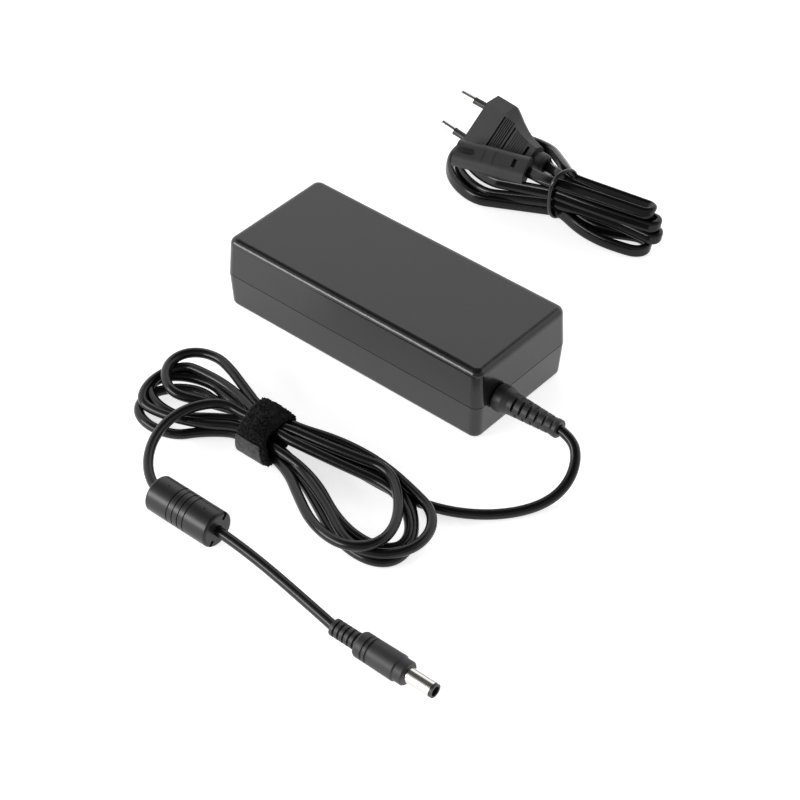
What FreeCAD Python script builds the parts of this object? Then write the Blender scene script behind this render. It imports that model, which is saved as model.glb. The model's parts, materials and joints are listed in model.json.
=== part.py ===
import FreeCAD, Part
import math
import os

Vector = FreeCAD.Vector
Rotation = FreeCAD.Rotation
Placement = FreeCAD.Placement

# Laptop power adapter: a two-shell brick with its captive low-voltage cord, and a loose mains lead.
# Frame: origin at the centre of the brick's bottom face, +X towards the low-voltage cord,
# +Y away from the coiled cord, +Z up. Millimetres.

# ---------------------------------------------------------------- driving dimensions
CASE_LENGTH = 146.0
CASE_WIDTH = 62.8
CASE_HEIGHT = 37.3
SEAM_Z = 18.1
SEAM_GAP = 0.3
CORNER_RADIUS = 4.3
TOP_EDGE_RADIUS = 3.3
BOTTOM_EDGE_RADIUS = 2.8
TOP_DRAFT = 0.87
BOTTOM_DRAFT = 0.96
WALL = 2.2
TONGUE = 1.0
TONGUE_HEIGHT = 1.9

BOARD_LENGTH = 132.0
BOARD_WIDTH = 54.0
BOARD_THICKNESS = 1.6
BOARD_Z = 7.2
BOARD_TOP = BOARD_Z + BOARD_THICKNESS

INLET_WIDTH = 15.0
INLET_HEIGHT = 8.8
INLET_DEPTH = 12.0
INLET_RIM = 1.7
INLET_PIN_PITCH = 8.6
INLET_PIN_RADIUS = 1.2

CORD_DIAMETER = 4.5
CORD_REST_Z = 2.3
RELIEF_Y = -17.4
RELIEF_Z = SEAM_Z
RELIEF_END = 106.0
RELIEF_SLOTS = 6
RELIEF_SLOT_START = 83.8
RELIEF_SLOT_PITCH = 3.95

FERRITE_DIAMETER = 16.2
FERRITE_START = -2.0
FERRITE_END = 32.0
FERRITE_Y = -147.5
FERRITE_Z = FERRITE_DIAMETER / 2
FERRITE_SPLIT_TILT = 49.0

PLUG_START = 101.0
PLUG_FACE = 139.0
PLUG_TIP = 152.2
PLUG_Y = -155.0
PLUG_Z = 5.9
BARREL_RADIUS = 3.25
BARREL_SHANK_RADIUS = 3.0
BARREL_BORE_RADIUS = 2.2

MAINS_PLUG_PLACE = Placement(Vector(-58.3, 134.7, 18.7), Rotation(-3.2, 3.7, 41.5))
MAINS_PIN_RADIUS = 2.0
MAINS_PIN_CORE_RADIUS = 1.5
MAINS_SLEEVE_RADIUS = 1.8
MAINS_PIN_LENGTH = 19.0
MAINS_PIN_ROOT = 8.0
MAINS_PIN_BASE_HALF_PITCH = 9.3
MAINS_PIN_TIP_HALF_PITCH = 8.75
MAINS_SLEEVE_LENGTH = 10.0
MAINS_SLEEVE_START = 0.1
# Ribs across the plug's two wide faces: a recessed grip panel, then a finer one towards the cord.
GRIP_RIBS = 5
GRIP_RIB_START = 13.8
GRIP_RIB_PITCH = 1.1
FINE_RIBS = 7
FINE_RIB_START = 22.6
FINE_RIB_PITCH = 1.2
FINE_RIB_RISE = 0.35
RIB_THICKNESS = 0.5
CONNECTOR_PLACE = Placement(Vector(-53.1, 109.6, 18.1), Rotation(16.0, 0.0, 24.0))
CONNECTOR_LENGTH = 37.0
# Round-ended slot in the connector's nose, above and below.
KEYWAY_LENGTH = 8.4
KEYWAY_RADIUS = 1.8
KEYWAY_FLOOR = 1.5
FLAT_CORD_WIDTH = 5.6
FLAT_CORD_THICKNESS = 3.5
TIE_CENTRE = Vector(1.9, 122.5, 13.9)
TIE_ACROSS = Vector(0.208, 0.978, 0)
TIE_HALF_WIDTH = 10.2
TIE_HALF_HEIGHT = 12.3
TIE_RADIUS = 0.9

# Low-voltage cord: from the strain relief down to the floor and on under the hank's right lobes.
LEAD_ROUTE = [
    (106.0, -17.4, 18.1),
    (113.2, -18.0, 17.2),
    (118.6, -22.0, 12.9),
    (121.2, -29.0, 7.4),
    (120.8, -38.4, 3.6),
    (117.0, -49.4, 2.3),
    (109.0, -61.0, 2.3),
    (97.4, -70.4, 2.3),
    (83.0, -76.6, 2.3),
]
# From the strap over the hank's left lobes and round into the ferrite.
TAIL_ROUTE = [
    (-6.5, -87.6, 10.2),
    (-15.8, -92.0, 12.3),
    (-23.6, -100.6, 12.6),
    (-27.4, -112.0, 12.0),
    (-26.0, -124.0, 10.6),
    (-20.6, -134.4, 9.4),
    (-12.4, -142.6, 8.5),
    (-2.0, -147.5, 8.1),
]
# Straight stretch from the ferrite to the plug.
STRAIGHT_ROUTE = [
    (32.0, -147.5, 8.1),
    (53.0, -148.4, 7.2),
    (77.0, -151.2, 6.2),
    (101.0, -155.0, 5.9),
]


# ---------------------------------------------------------------- helpers
def box(x_span, y_span, z_span):
    size = [span[1] - span[0] for span in (x_span, y_span, z_span)]
    return Part.makeBox(*size, Vector(x_span[0], y_span[0], z_span[0]))


def centred_box(centre, size):
    spans = [(middle - side / 2, middle + side / 2) for middle, side in zip(centre, size)]
    return box(*spans)


def rod(start, end, radius):
    start = Vector(*start)
    axis = Vector(*end) - start
    return Part.makeCylinder(radius, axis.Length, start, axis)


def joined(shapes):
    result = shapes[0]
    for shape in shapes[1:]:
        result = result.fuse(shape)
    return result.removeSplitter()


def rounded_rectangle(length, width, radius, z):
    """Closed wire centred on the Z axis: four sides and four corner arcs."""
    x = length / 2
    y = width / 2
    reach = radius * math.sqrt(0.5)
    corners = [(x, y), (-x, y), (-x, -y), (x, -y)]
    edges = []
    for index, (cx, cy) in enumerate(corners):
        sx = math.copysign(1, cx)
        sy = math.copysign(1, cy)
        centre = Vector(cx - sx * radius, cy - sy * radius, z)
        on_x = Vector(cx, cy - sy * radius, z)
        on_y = Vector(cx - sx * radius, cy, z)
        middle = centre + Vector(sx * reach, sy * reach, 0)
        first, last = (on_x, on_y) if index % 2 == 0 else (on_y, on_x)
        if edges:
            edges.append(Part.LineSegment(last_point, first).toShape())
        else:
            first_point = first
        edges.append(Part.Arc(first, middle, last).toShape())
        last_point = last
    edges.append(Part.LineSegment(last_point, first_point).toShape())
    return Part.Wire(edges)


def tapered_block(inset, z_low, z_high):
    """Block inside the case outline, set in by inset, that narrows away from the seam."""
    wires = []
    for z in (z_low, z_high):
        if z >= SEAM_Z:
            draft = TOP_DRAFT * (z - SEAM_Z) / (CASE_HEIGHT - SEAM_Z)
        else:
            draft = BOTTOM_DRAFT * (SEAM_Z - z) / SEAM_Z
        cut = 2 * (inset + draft)
        radius = max(CORNER_RADIUS - inset, 1.0)
        wires.append(rounded_rectangle(CASE_LENGTH - cut, CASE_WIDTH - cut, radius, z))
    return Part.makeLoft(wires, True, True)


def edges_at_height(shape, z):
    found = []
    for edge in shape.Edges:
        limits = edge.BoundBox
        if abs(limits.ZMin - z) < 0.01 and abs(limits.ZMax - z) < 0.01:
            found.append(edge)
    return found


def revolved_along_x(profile, y, z):
    """Solid of revolution about the line (y, z) along X. Profile: (x, radius) points."""
    points = [Vector(x, y + radius, z) for x, radius in profile]
    face = Part.Face(Part.makePolygon(points + [points[0]]))
    return face.revolve(Vector(0, y, z), Vector(1, 0, 0), 360)


def stadium(width, height, x):
    """Closed wire in the plane X = x: two straight sides and two round ends, wide along Y."""
    half = height / 2
    flat = width / 2 - half
    top_left = Vector(x, -flat, half)
    top_right = Vector(x, flat, half)
    low_left = Vector(x, -flat, -half)
    low_right = Vector(x, flat, -half)
    return Part.Wire([
        Part.LineSegment(top_left, top_right).toShape(),
        Part.Arc(top_right, Vector(x, width / 2, 0), low_right).toShape(),
        Part.LineSegment(low_right, low_left).toShape(),
        Part.Arc(low_left, Vector(x, -width / 2, 0), top_left).toShape(),
    ])


def stadium_bar(width, height, x_start, x_end):
    return Part.Face(stadium(width, height, x_start)).extrude(Vector(x_end - x_start, 0, 0))


def polygon_prism(points, z_low, z_high):
    """Upright prism on a smooth closed outline through the given (x, y) points."""
    outline = Part.BSplineCurve()
    outline.interpolate([Vector(x, y, z_low) for x, y in points], True)
    face = Part.Face(Part.Wire([outline.toShape()]))
    return face.extrude(Vector(0, 0, z_high - z_low))


def cord_path(name, route):
    """Straight runs joined by tangent arcs, each as large as its two runs allow."""
    points = [Vector(*point) for point in route]
    edges = []
    radii = []
    start = points[0]
    for before, corner, after in zip(points, points[1:], points[2:]):
        run_in = corner - before
        run_out = after - corner
        half_turn = run_in.getAngle(run_out) / 2
        tangent = 0.45 * min(run_in.Length, run_out.Length)
        radius = tangent / math.tan(half_turn)
        run_in.normalize()
        run_out.normalize()
        arc_start = corner - run_in * tangent
        arc_end = corner + run_out * tangent
        inward = run_out - run_in
        inward.normalize()
        middle = corner + inward * (radius / math.cos(half_turn) - radius)
        edges.append(Part.LineSegment(start, arc_start).toShape())
        edges.append(Part.Arc(arc_start, middle, arc_end).toShape())
        radii.append(radius)
        start = arc_end
    edges.append(Part.LineSegment(start, points[-1]).toShape())
    path = Part.Wire(edges)
    print(name, "length %.1f mm, radii" % path.Length, " ".join("%.1f" % radius for radius in radii))
    return path


def cord_tube(name, route):
    path = cord_path(name, route)
    start = Vector(*route[0])
    direction = Vector(*route[1]) - start
    section = Part.Wire([Part.makeCircle(CORD_DIAMETER / 2, start, direction)])
    tube = path.makePipeShell([section], True, True)
    expected = math.pi * CORD_DIAMETER ** 2 / 4 * path.Length
    print(name, "volume over section times length %.4f" % (tube.Volume / expected))
    return tube


def leads(centre, spacing, height):
    """Two thin legs, spaced along X, from the board's top up to the given height."""
    x, y = centre
    legs = []
    for side in (-1, 1):
        foot = (x + side * spacing / 2, y, BOARD_TOP)
        legs.append(rod(foot, (foot[0], y, height), 0.4))
    return legs


# ---------------------------------------------------------------- case
def relief_hole():
    return rod((60, RELIEF_Y, RELIEF_Z), (80, RELIEF_Y, RELIEF_Z), 4.8)


def inlet_hole():
    width = INLET_WIDTH + 2 * INLET_RIM + 0.4
    height = INLET_HEIGHT + 2 * INLET_RIM + 0.4
    hole = stadium_bar(width, height, -80, -66)
    hole.translate(Vector(0, 0, SEAM_Z))
    return hole


def top_cover():
    low = SEAM_Z + SEAM_GAP / 2
    shell = tapered_block(0, low, CASE_HEIGHT)
    shell = shell.makeFillet(TOP_EDGE_RADIUS, edges_at_height(shell, CASE_HEIGHT))
    shell = shell.cut(tapered_block(WALL, low - 1, CASE_HEIGHT - WALL))
    rabbet = tapered_block(WALL - TONGUE - 0.15, low - 1, SEAM_Z + TONGUE_HEIGHT + 0.2)
    shell = shell.cut(rabbet)
    return shell.cut(relief_hole()).cut(inlet_hole())


def bottom_cover():
    high = SEAM_Z - SEAM_GAP / 2
    shell = tapered_block(0, 0, high)
    shell = shell.makeFillet(BOTTOM_EDGE_RADIUS, edges_at_height(shell, 0))
    tongue = tapered_block(WALL - TONGUE, high - 0.5, SEAM_Z + TONGUE_HEIGHT)
    shell = shell.fuse(tongue).cut(tapered_block(WALL, WALL, SEAM_Z + 5))
    posts = []
    for x in (-58, 0, 58):
        for y in (-25, 25):
            posts.append(rod((x, y, WALL - 0.5), (x, y, BOARD_Z), 1.6))
    shell = joined([shell] + posts)
    return shell.cut(relief_hole()).cut(inlet_hole())


def inlet_housing():
    front = -CASE_LENGTH / 2
    back = front + INLET_DEPTH + 3
    outer_width = INLET_WIDTH + 2 * INLET_RIM
    outer_height = INLET_HEIGHT + 2 * INLET_RIM
    body = stadium_bar(outer_width, outer_height, front, back)
    flange = stadium_bar(outer_width + 5, outer_height + 4, front + WALL + 0.9, front + WALL + 2.4)
    cavity = stadium_bar(INLET_WIDTH, INLET_HEIGHT, front - 1, front + INLET_DEPTH)
    housing = body.fuse(flange).cut(cavity)
    for side in (-1, 1):
        y = side * INLET_PIN_PITCH / 2
        housing = housing.cut(rod((front, y, 0), (back + 1, y, 0), INLET_PIN_RADIUS))
    housing.translate(Vector(0, 0, SEAM_Z))
    return housing


def inlet_pin(side):
    front = -CASE_LENGTH / 2
    y = side * INLET_PIN_PITCH / 2
    pin = rod((front + 1.5, y, SEAM_Z), (front + 18, y, SEAM_Z), INLET_PIN_RADIUS)
    nose = [edge for edge in pin.Edges if edge.BoundBox.XMax < front + 1.6]
    return pin.makeFillet(0.7, nose)


# ---------------------------------------------------------------- electronics
def circuit_board():
    middle_z = BOARD_Z + BOARD_THICKNESS / 2
    return centred_box((0, 0, middle_z), (BOARD_LENGTH, BOARD_WIDTH, BOARD_THICKNESS))


def insulating_sheet():
    return centred_box((0, 0, 4.4), (BOARD_LENGTH - 2, BOARD_WIDTH - 8, 0.4))


def heat_spreader():
    """Aluminium sheet under the top cover, bent down along both long sides."""
    outer = box((-52, 52), (-27.6, 27.6), (22.5, 34.6))
    inner = box((-53, 53), (-26.8, 26.8), (22.0, 33.8))
    return outer.cut(inner)


def inlet_wires():
    wires = []
    for side in (-1, 1):
        y = side * INLET_PIN_PITCH / 2
        top = (-53, y, SEAM_Z)
        wires.append(rod((-55, y, SEAM_Z), top, 0.9))
        wires.append(rod(top, (-53, y, BOARD_TOP), 0.9))
        wires.append(Part.makeSphere(0.9, Vector(*top)))
    return Part.makeCompound([joined(wires[:3]), joined(wires[3:])])


def fuse():
    body = rod((-49, -20, 12.5), (-38, -20, 12.5), 2.2)
    return joined([body] + leads((-43.5, -20), 8, 12.5))


def thermistor():
    disc = rod((-44, -13.5, 15.5), (-44, -9.5, 15.5), 5)
    return joined([disc] + leads((-44, -11.5), 5, 14))


def x_capacitor():
    return box((-48, -30), (12, 21), (BOARD_TOP, BOARD_TOP + 15))


def choke_core():
    centre = Vector(-26, -4, BOARD_TOP + 10.5)
    ring = Part.makeCylinder(9, 7, centre, Vector(0, 1, 0))
    return ring.cut(Part.makeCylinder(5.2, 9, centre - Vector(0, 1, 0), Vector(0, 1, 0)))


def choke_winding():
    """Two coils, one on each side of the ring, as open sleeves round it."""
    centre = Vector(-26, -0.5, BOARD_TOP + 10.5)
    along_y = Vector(0, 1, 0)
    sleeve = Part.makeCylinder(10.2, 9.6, centre - along_y * 4.8, along_y)
    sleeve = sleeve.cut(Part.makeCylinder(4.0, 10, centre - along_y * 5, along_y))
    core_space = Part.makeCylinder(9, 7, centre - along_y * 3.5, along_y)
    core_space = core_space.cut(Part.makeCylinder(5.2, 7, centre - along_y * 3.5, along_y))
    sleeve = sleeve.cut(core_space)
    parting = centred_box((centre.x, centre.y, centre.z), (5, 12, 24))
    return sleeve.cut(parting)


def bridge_rectifier():
    return box((-20, -5), (14, 18), (BOARD_TOP, BOARD_TOP + 13))


def bulk_capacitor():
    can = rod((-10, -16, BOARD_TOP + 9.3), (22, -16, BOARD_TOP + 9.3), 9)
    groove = rod((18.5, -16, BOARD_TOP + 9.3), (19.5, -16, BOARD_TOP + 9.3), 9.5)
    groove = groove.cut(rod((18, -16, BOARD_TOP + 9.3), (20, -16, BOARD_TOP + 9.3), 8.4))
    return can.cut(groove)


def heat_sink(x_span):
    plate = box(x_span, (22.6, 24.2), (BOARD_TOP, 31))
    foot = box(x_span, (24.2, 26.2), (29.6, 31))
    return joined([plate, foot])


def power_package(x):
    """Flat three-legged package standing against a heat sink."""
    body = box((x - 5, x + 5), (18.0, 22.6), (BOARD_TOP + 5, BOARD_TOP + 14))
    tab = box((x - 5, x + 5), (21.3, 22.6), (BOARD_TOP + 14, BOARD_TOP + 20))
    legs = [box((x + step - 0.4, x + step + 0.4), (19.6, 20.2), (BOARD_TOP, BOARD_TOP + 5))
            for step in (-2.54, 0, 2.54)]
    return joined([body, tab] + legs)


def transformer_core():
    block = centred_box((38, 2, BOARD_TOP + 12), (28, 13, 20))
    for side in (-1, 1):
        window = centred_box((38 + side * 8, 2, BOARD_TOP + 12), (6, 14, 13))
        block = block.cut(window)
    return block


def transformer_winding():
    coil = centred_box((38, 2, BOARD_TOP + 12), (21.6, 25, 12.6))
    coil = coil.makeFillet(3, [edge for edge in coil.Edges if edge.BoundBox.ZLength > 12])
    centre_leg = centred_box((38, 2, BOARD_TOP + 12), (10, 13, 20))
    return coil.cut(centre_leg)


def y_capacitor():
    disc = rod((42.5, -20.5, 14.5), (42.5, -16.5, 14.5), 4)
    return joined([disc] + leads((42.5, -18.5), 5, 14))


def optocoupler():
    return box((48, 54.5), (-24, -19.4), (BOARD_TOP, BOARD_TOP + 3.5))


def controller_chip():
    return box((6, 11), (3, 7), (BOARD_TOP, BOARD_TOP + 1.6))


def output_capacitor(y):
    can = rod((60, y, BOARD_TOP), (60, y, BOARD_TOP + 20), 4.9)
    crimp = [edge for edge in can.Edges if edge.BoundBox.ZMin > BOARD_TOP + 19.9]
    return can.makeFillet(0.6, crimp)


def output_choke():
    return Part.makeTorus(5, 2.4, Vector(30.2, -22, BOARD_TOP + 7.6), Vector(0, 1, 0))


def output_wires():
    """Two insulated wires from the cord's end inside the case down to the board."""
    wires = []
    for side in (-1, 1):
        y = RELIEF_Y + side * 1.15
        bend = (62.5, y, RELIEF_Z)
        wires.append(joined([
            rod((64, y, RELIEF_Z), bend, 0.9),
            Part.makeSphere(0.9, Vector(*bend)),
            rod(bend, (62.5, y, BOARD_TOP), 0.9),
        ]))
    return Part.makeCompound(wires)


# ---------------------------------------------------------------- strain relief and low-voltage cord
def relief_slot(x, turn):
    """Cutter for one slot of the strain relief, turned about the cord from the front side."""
    slot = centred_box((x, -5.2, 0), (1.3, 4.0, 6.4))
    slot.rotate(Vector(0, 0, 0), Vector(1, 0, 0), turn)
    slot.translate(Vector(0, RELIEF_Y, RELIEF_Z))
    return slot


def strain_relief():
    """Moulded sleeve: flange inside the wall, bulb outside it, slotted taper and end collar."""
    profile = [
        (67.9, 2.3), (67.9, 6.5), (70.1, 6.5), (70.1, 4.6), (73.3, 4.6), (73.3, 5.8), (74.0, 6.3),
        (78.0, 6.3), (81.0, 5.2), (103.4, 3.9), (103.6, 4.2), (RELIEF_END - 0.4, 4.2),
        (RELIEF_END, 3.9), (RELIEF_END, 2.3),
    ]
    relief = revolved_along_x(profile, RELIEF_Y, RELIEF_Z)
    for turn in (-45, 135):
        for index in range(RELIEF_SLOTS):
            relief = relief.cut(relief_slot(RELIEF_SLOT_START + RELIEF_SLOT_PITCH * index, turn))
    for turn in (45, 225):
        for index in range(RELIEF_SLOTS - 1):
            relief = relief.cut(relief_slot(RELIEF_SLOT_START + RELIEF_SLOT_PITCH * (index + 0.5), turn))
    return relief


def cord_entry():
    """The cord's jacket where the strain relief is moulded round it."""
    return rod((64, RELIEF_Y, RELIEF_Z), (RELIEF_END, RELIEF_Y, RELIEF_Z), CORD_DIAMETER / 2)


def dc_cord_hank():
    """Outer shape of the hank: two open lobes and the waist that the strap holds."""
    right_outline = [
        (9, -78), (40, -71), (70, -72), (90, -80), (98, -93), (94, -108), (82, -118), (66, -121),
        (50, -115), (32, -105), (9, -99),
    ]
    right_hollow = [(40, -88), (58, -83), (72, -85), (80, -92), (78, -100), (68, -106), (56, -102)]
    left_outline = [
        (-2, -78), (-22, -68), (-40, -65), (-53, -71), (-58, -84), (-58, -99), (-50, -110),
        (-36, -114), (-18, -110), (-2, -101),
    ]
    left_hollow = [(-20, -88), (-34, -83), (-46, -86), (-50, -94), (-44, -101), (-30, -101)]
    right = polygon_prism(right_outline, 0, 11).cut(polygon_prism(right_hollow, -1, 12))
    left = polygon_prism(left_outline, 0, 10).cut(polygon_prism(left_hollow, -1, 11))
    waist = box((-7, 15), (-98.6, -78.4), (1.2, 11.6))
    hank = joined([right, left, waist])
    return hank.cut(cable_strap())


def strap_envelope():
    block = box((-5.5, 13.0), (-100.2, -76.8), (0, 13.4))
    return block.makeFillet(3.5, [edge for edge in block.Edges if edge.BoundBox.XLength > 10])


def cable_strap():
    """Hook-and-loop band wrapped once round the hank's waist, with its end overlapped in front."""
    band = strap_envelope().cut(box((-7, 15), (-98.6, -78.4), (1.2, 11.6)))
    overlap = box((5.5, 14.5), (-101.6, -100.0), (1.0, 11.0))
    return joined([band, overlap])


def ferrite_ring(inner, outer, x_start, x_end):
    ring = rod((x_start, FERRITE_Y, FERRITE_Z), (x_end, FERRITE_Y, FERRITE_Z), outer)
    return ring.cut(rod((x_start - 1, FERRITE_Y, FERRITE_Z), (x_end + 1, FERRITE_Y, FERRITE_Z), inner))


def ferrite_case_half(side):
    """One snap-on half shell. The two meet in a tilted plane through the cord's axis."""
    outer = FERRITE_DIAMETER / 2
    case = ferrite_ring(CORD_DIAMETER / 2 + 0.1, outer, FERRITE_START, FERRITE_END)
    rims = [edge for edge in case.Edges if edge.BoundBox.YLength > 2 * outer - 0.1
            and edge.BoundBox.XLength < 0.01]
    case = case.makeFillet(1.2, rims)
    case = case.cut(ferrite_ring(0.5, 6.5, FERRITE_START + 3, FERRITE_END - 3))
    for x in (10.4, 13.4, 16.4, 19.4):
        case = case.cut(ferrite_ring(outer - 0.4, outer + 1, x - 0.25, x + 0.25))
    for x in (FERRITE_START, FERRITE_END):
        notch = centred_box((x, FERRITE_Y, FERRITE_Z), (2.4, 2 * outer + 2, 1.6))
        notch = notch.cut(centred_box((x, FERRITE_Y, FERRITE_Z), (3, 9.6, 3)))
        case = case.cut(notch.rotated(Vector(0, FERRITE_Y, FERRITE_Z), Vector(1, 0, 0), FERRITE_SPLIT_TILT))
    for x in (5.0, 25.0):
        pinhole = rod((x, FERRITE_Y, FERRITE_Z - 10), (x, FERRITE_Y, FERRITE_Z + 10), 0.35)
        case = case.cut(pinhole)
    low, high = (0.02, 20) if side > 0 else (-20, -0.02)
    half_space = box((-10, 40), (FERRITE_Y - 20, FERRITE_Y + 20), (FERRITE_Z + low, FERRITE_Z + high))
    half_space = half_space.rotated(Vector(0, FERRITE_Y, FERRITE_Z), Vector(1, 0, 0), FERRITE_SPLIT_TILT)
    return case.common(half_space)


def ferrite_core():
    return ferrite_ring(CORD_DIAMETER / 2 + 0.3, 6.3, FERRITE_START + 3.2, FERRITE_END - 3.2)


def cord_in_ferrite():
    return rod((FERRITE_START, FERRITE_Y, FERRITE_Z), (FERRITE_END, FERRITE_Y, FERRITE_Z), CORD_DIAMETER / 2)


# ---------------------------------------------------------------- low-voltage plug
def dc_plug_body():
    """Moulded plug: ribbed relief, waisted grip with two rings, stepped nose."""
    profile = [(PLUG_START, 0.0), (PLUG_START, 3.1)]
    ring_pitch = 2.5
    for index in range(5):
        x = PLUG_START + 0.4 + ring_pitch * index
        profile += [(x, 3.7), (x + 1.5, 3.75), (x + 1.7, 3.0), (x + ring_pitch - 0.2, 3.0)]
    profile += [
        (114.0, 3.3), (114.8, 5.2), (115.6, 5.6), (118.6, 5.6), (118.8, 5.1), (119.4, 5.1),
        (119.6, 5.6), (120.8, 5.6), (121.0, 5.1), (121.6, 5.1), (121.8, 5.6), (134.2, 5.75),
        (134.8, 5.2), (PLUG_FACE - 0.6, 5.2), (PLUG_FACE, 4.7), (PLUG_FACE, 0.0),
    ]
    body = revolved_along_x(profile, PLUG_Y, PLUG_Z)
    shank_start = (PLUG_FACE - 8, PLUG_Y, PLUG_Z)
    return body.cut(rod(shank_start, (PLUG_FACE + 1, PLUG_Y, PLUG_Z), BARREL_SHANK_RADIUS))


def dc_plug_barrel():
    """Sleeve with a free stretch in front of the plug's face and a thinner shank moulded into the body."""
    shank = barrel_sleeve(BARREL_BORE_RADIUS + 0.4, BARREL_SHANK_RADIUS, PLUG_FACE - 8, PLUG_FACE)
    free = barrel_sleeve(BARREL_BORE_RADIUS + 0.4, BARREL_RADIUS, PLUG_FACE, PLUG_TIP - 1.2)
    return joined([shank, free])


def barrel_sleeve(inner, outer, x_start, x_end):
    sleeve = rod((x_start, PLUG_Y, PLUG_Z), (x_end, PLUG_Y, PLUG_Z), outer)
    return sleeve.cut(rod((x_start - 1, PLUG_Y, PLUG_Z), (x_end + 1, PLUG_Y, PLUG_Z), inner))


def dc_plug_tip_ring():
    """Insulating ring that closes the barrel's front and lines its mouth."""
    ring = barrel_sleeve(BARREL_BORE_RADIUS, BARREL_RADIUS - 0.2, PLUG_TIP - 1.2, PLUG_TIP)
    lining = barrel_sleeve(BARREL_BORE_RADIUS, BARREL_BORE_RADIUS + 0.4, PLUG_TIP - 3, PLUG_TIP - 1.2)
    return joined([ring, lining])


def dc_plug_inner_contact():
    return barrel_sleeve(BARREL_BORE_RADIUS, BARREL_BORE_RADIUS + 0.35, PLUG_FACE - 7, PLUG_TIP - 3)


def dc_plug_centre_pin():
    """Signal pin on a round insulating base at the back of the barrel."""
    base = rod((PLUG_FACE - 8, PLUG_Y, PLUG_Z), (PLUG_FACE - 7, PLUG_Y, PLUG_Z), BARREL_BORE_RADIUS + 0.3)
    pin = rod((PLUG_FACE - 7.2, PLUG_Y, PLUG_Z), (PLUG_TIP - 2.2, PLUG_Y, PLUG_Z), 0.7)
    return joined([base, pin])


# ---------------------------------------------------------------- mains plug (its own frame: pins to -X)
def plug_section(x, width_scale, height_scale):
    """Six-sided section: flat top and bottom, bevelled edges left and right."""
    outline = [(10.7, 6.85), (16.8, 1.5), (16.8, -1.5), (10.7, -6.85)]
    outline += [(-y, z) for y, z in reversed(outline)]
    points = [Vector(x, y * width_scale, z * height_scale) for y, z in outline]
    return Part.makePolygon(points + [points[0]])


def mains_plug_body():
    stations = [(0, 1.0, 1.0), (12, 1.0, 1.0), (15, 0.90, 0.99), (19, 0.75, 0.97), (24, 0.59, 0.92),
                (29, 0.47, 0.86), (36, 0.38, 0.78)]
    body = Part.makeLoft([plug_section(*station) for station in stations], True, True)
    collar = rod((35.5, 0, 0), (43, 0, 0), 4.9)
    collar = collar.makeFillet(1.8, [edge for edge in collar.Edges if edge.BoundBox.XLength < 0.01])
    neck = rod((35, 0, 0), (39, 0, 0), 3.9)
    ring = rod((36.2, 0, 0), (38.2, 0, 0), 6).cut(rod((36, 0, 0), (39, 0, 0), 3.9))
    body = joined([body, collar.cut(ring), neck])
    for side in (-1, 1):
        grip_panel = centred_box((16.0, 0, side * 6.9), (7.0, 18.4, 2.2))
        groove = centred_box((20.9, 0, side * 6.6), (1.0, 14.6, 2.2))
        slot = centred_box((32.3, 0, side * 5.4), (1.6, 5.6, 4.0))
        body = body.cut(grip_panel).cut(groove).cut(slot)
    for index in range(GRIP_RIBS):
        x = GRIP_RIB_START + GRIP_RIB_PITCH * index
        body = body.fuse(centred_box((x, 0, 0), (RIB_THICKNESS, 17.6, 12.9)))
    for index in range(FINE_RIBS):
        x = FINE_RIB_START + FINE_RIB_PITCH * index
        width = 12.8 - 0.5 * (x - FINE_RIB_START)
        body_height = 2 * 6.85 * (0.97 - 0.0112 * (x - 19))
        body = body.fuse(centred_box((x, 0, 0), (RIB_THICKNESS, width, body_height + 2 * FINE_RIB_RISE)))
    for side in (-1, 1):
        body = body.cut(mains_pin_stretch(side, -MAINS_PIN_ROOT, 0.5, MAINS_PIN_CORE_RADIUS))
    return body.removeSplitter()


def mains_pin_stretch(side, start, end, radius):
    """Cylinder on one pin's axis, between two distances from the plug's face towards the tip."""
    base = Vector(0, side * MAINS_PIN_BASE_HALF_PITCH, 0)
    tip = Vector(-MAINS_PIN_LENGTH, side * MAINS_PIN_TIP_HALF_PITCH, 0)
    along = tip - base
    along.normalize()
    return Part.makeCylinder(radius, end - start, base + along * start, along)


def mains_pin(side):
    """Thin core from inside the plug to the sleeve's end, then the full-size contact with a round nose."""
    core = mains_pin_stretch(side, -MAINS_PIN_ROOT, MAINS_SLEEVE_LENGTH, MAINS_PIN_CORE_RADIUS)
    point = mains_pin_stretch(side, MAINS_SLEEVE_LENGTH, MAINS_PIN_LENGTH, MAINS_PIN_RADIUS)
    nose = min(point.Edges, key=lambda edge: edge.BoundBox.XMax)
    point = point.makeFillet(0.9, [nose])
    return joined([core, point])


def mains_pin_sleeves():
    sleeves = []
    for side in (-1, 1):
        outer = mains_pin_stretch(side, MAINS_SLEEVE_START, MAINS_SLEEVE_LENGTH, MAINS_SLEEVE_RADIUS)
        core = mains_pin_stretch(side, 0, MAINS_SLEEVE_LENGTH, MAINS_PIN_CORE_RADIUS)
        sleeves.append(outer.cut(core))
    return Part.makeCompound(sleeves)


# ---------------------------------------------------------------- appliance connector (nose at X = 0)
def connector_body():
    nose = stadium_bar(14.0, 8.4, 0, 11)
    grip = stadium_bar(14.8, 9.2, 11, CONNECTOR_LENGTH)
    body = joined([nose, grip])
    for side in (-1, 1):
        y = side * INLET_PIN_PITCH / 2
        body = body.cut(rod((-1, y, 0), (13, y, 0), 1.75))
        keyway = box((-1, KEYWAY_LENGTH), (-KEYWAY_RADIUS, KEYWAY_RADIUS), (KEYWAY_FLOOR, 6))
        round_end = rod((KEYWAY_LENGTH, 0, KEYWAY_FLOOR), (KEYWAY_LENGTH, 0, 6), KEYWAY_RADIUS)
        window = box((29.5, 31.5), (-2.4, 2.4), (2.8, 6))
        cutter = joined([keyway, round_end, window])
        if side < 0:
            cutter = cutter.mirror(Vector(0, 0, 0), Vector(0, 0, 1))
        body = body.cut(cutter)
        for x in (15.0, 20.5):
            body = body.cut(centred_box((x, 0, side * 4.75), (0.7, 8.0, 0.6)))
    return body


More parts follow.
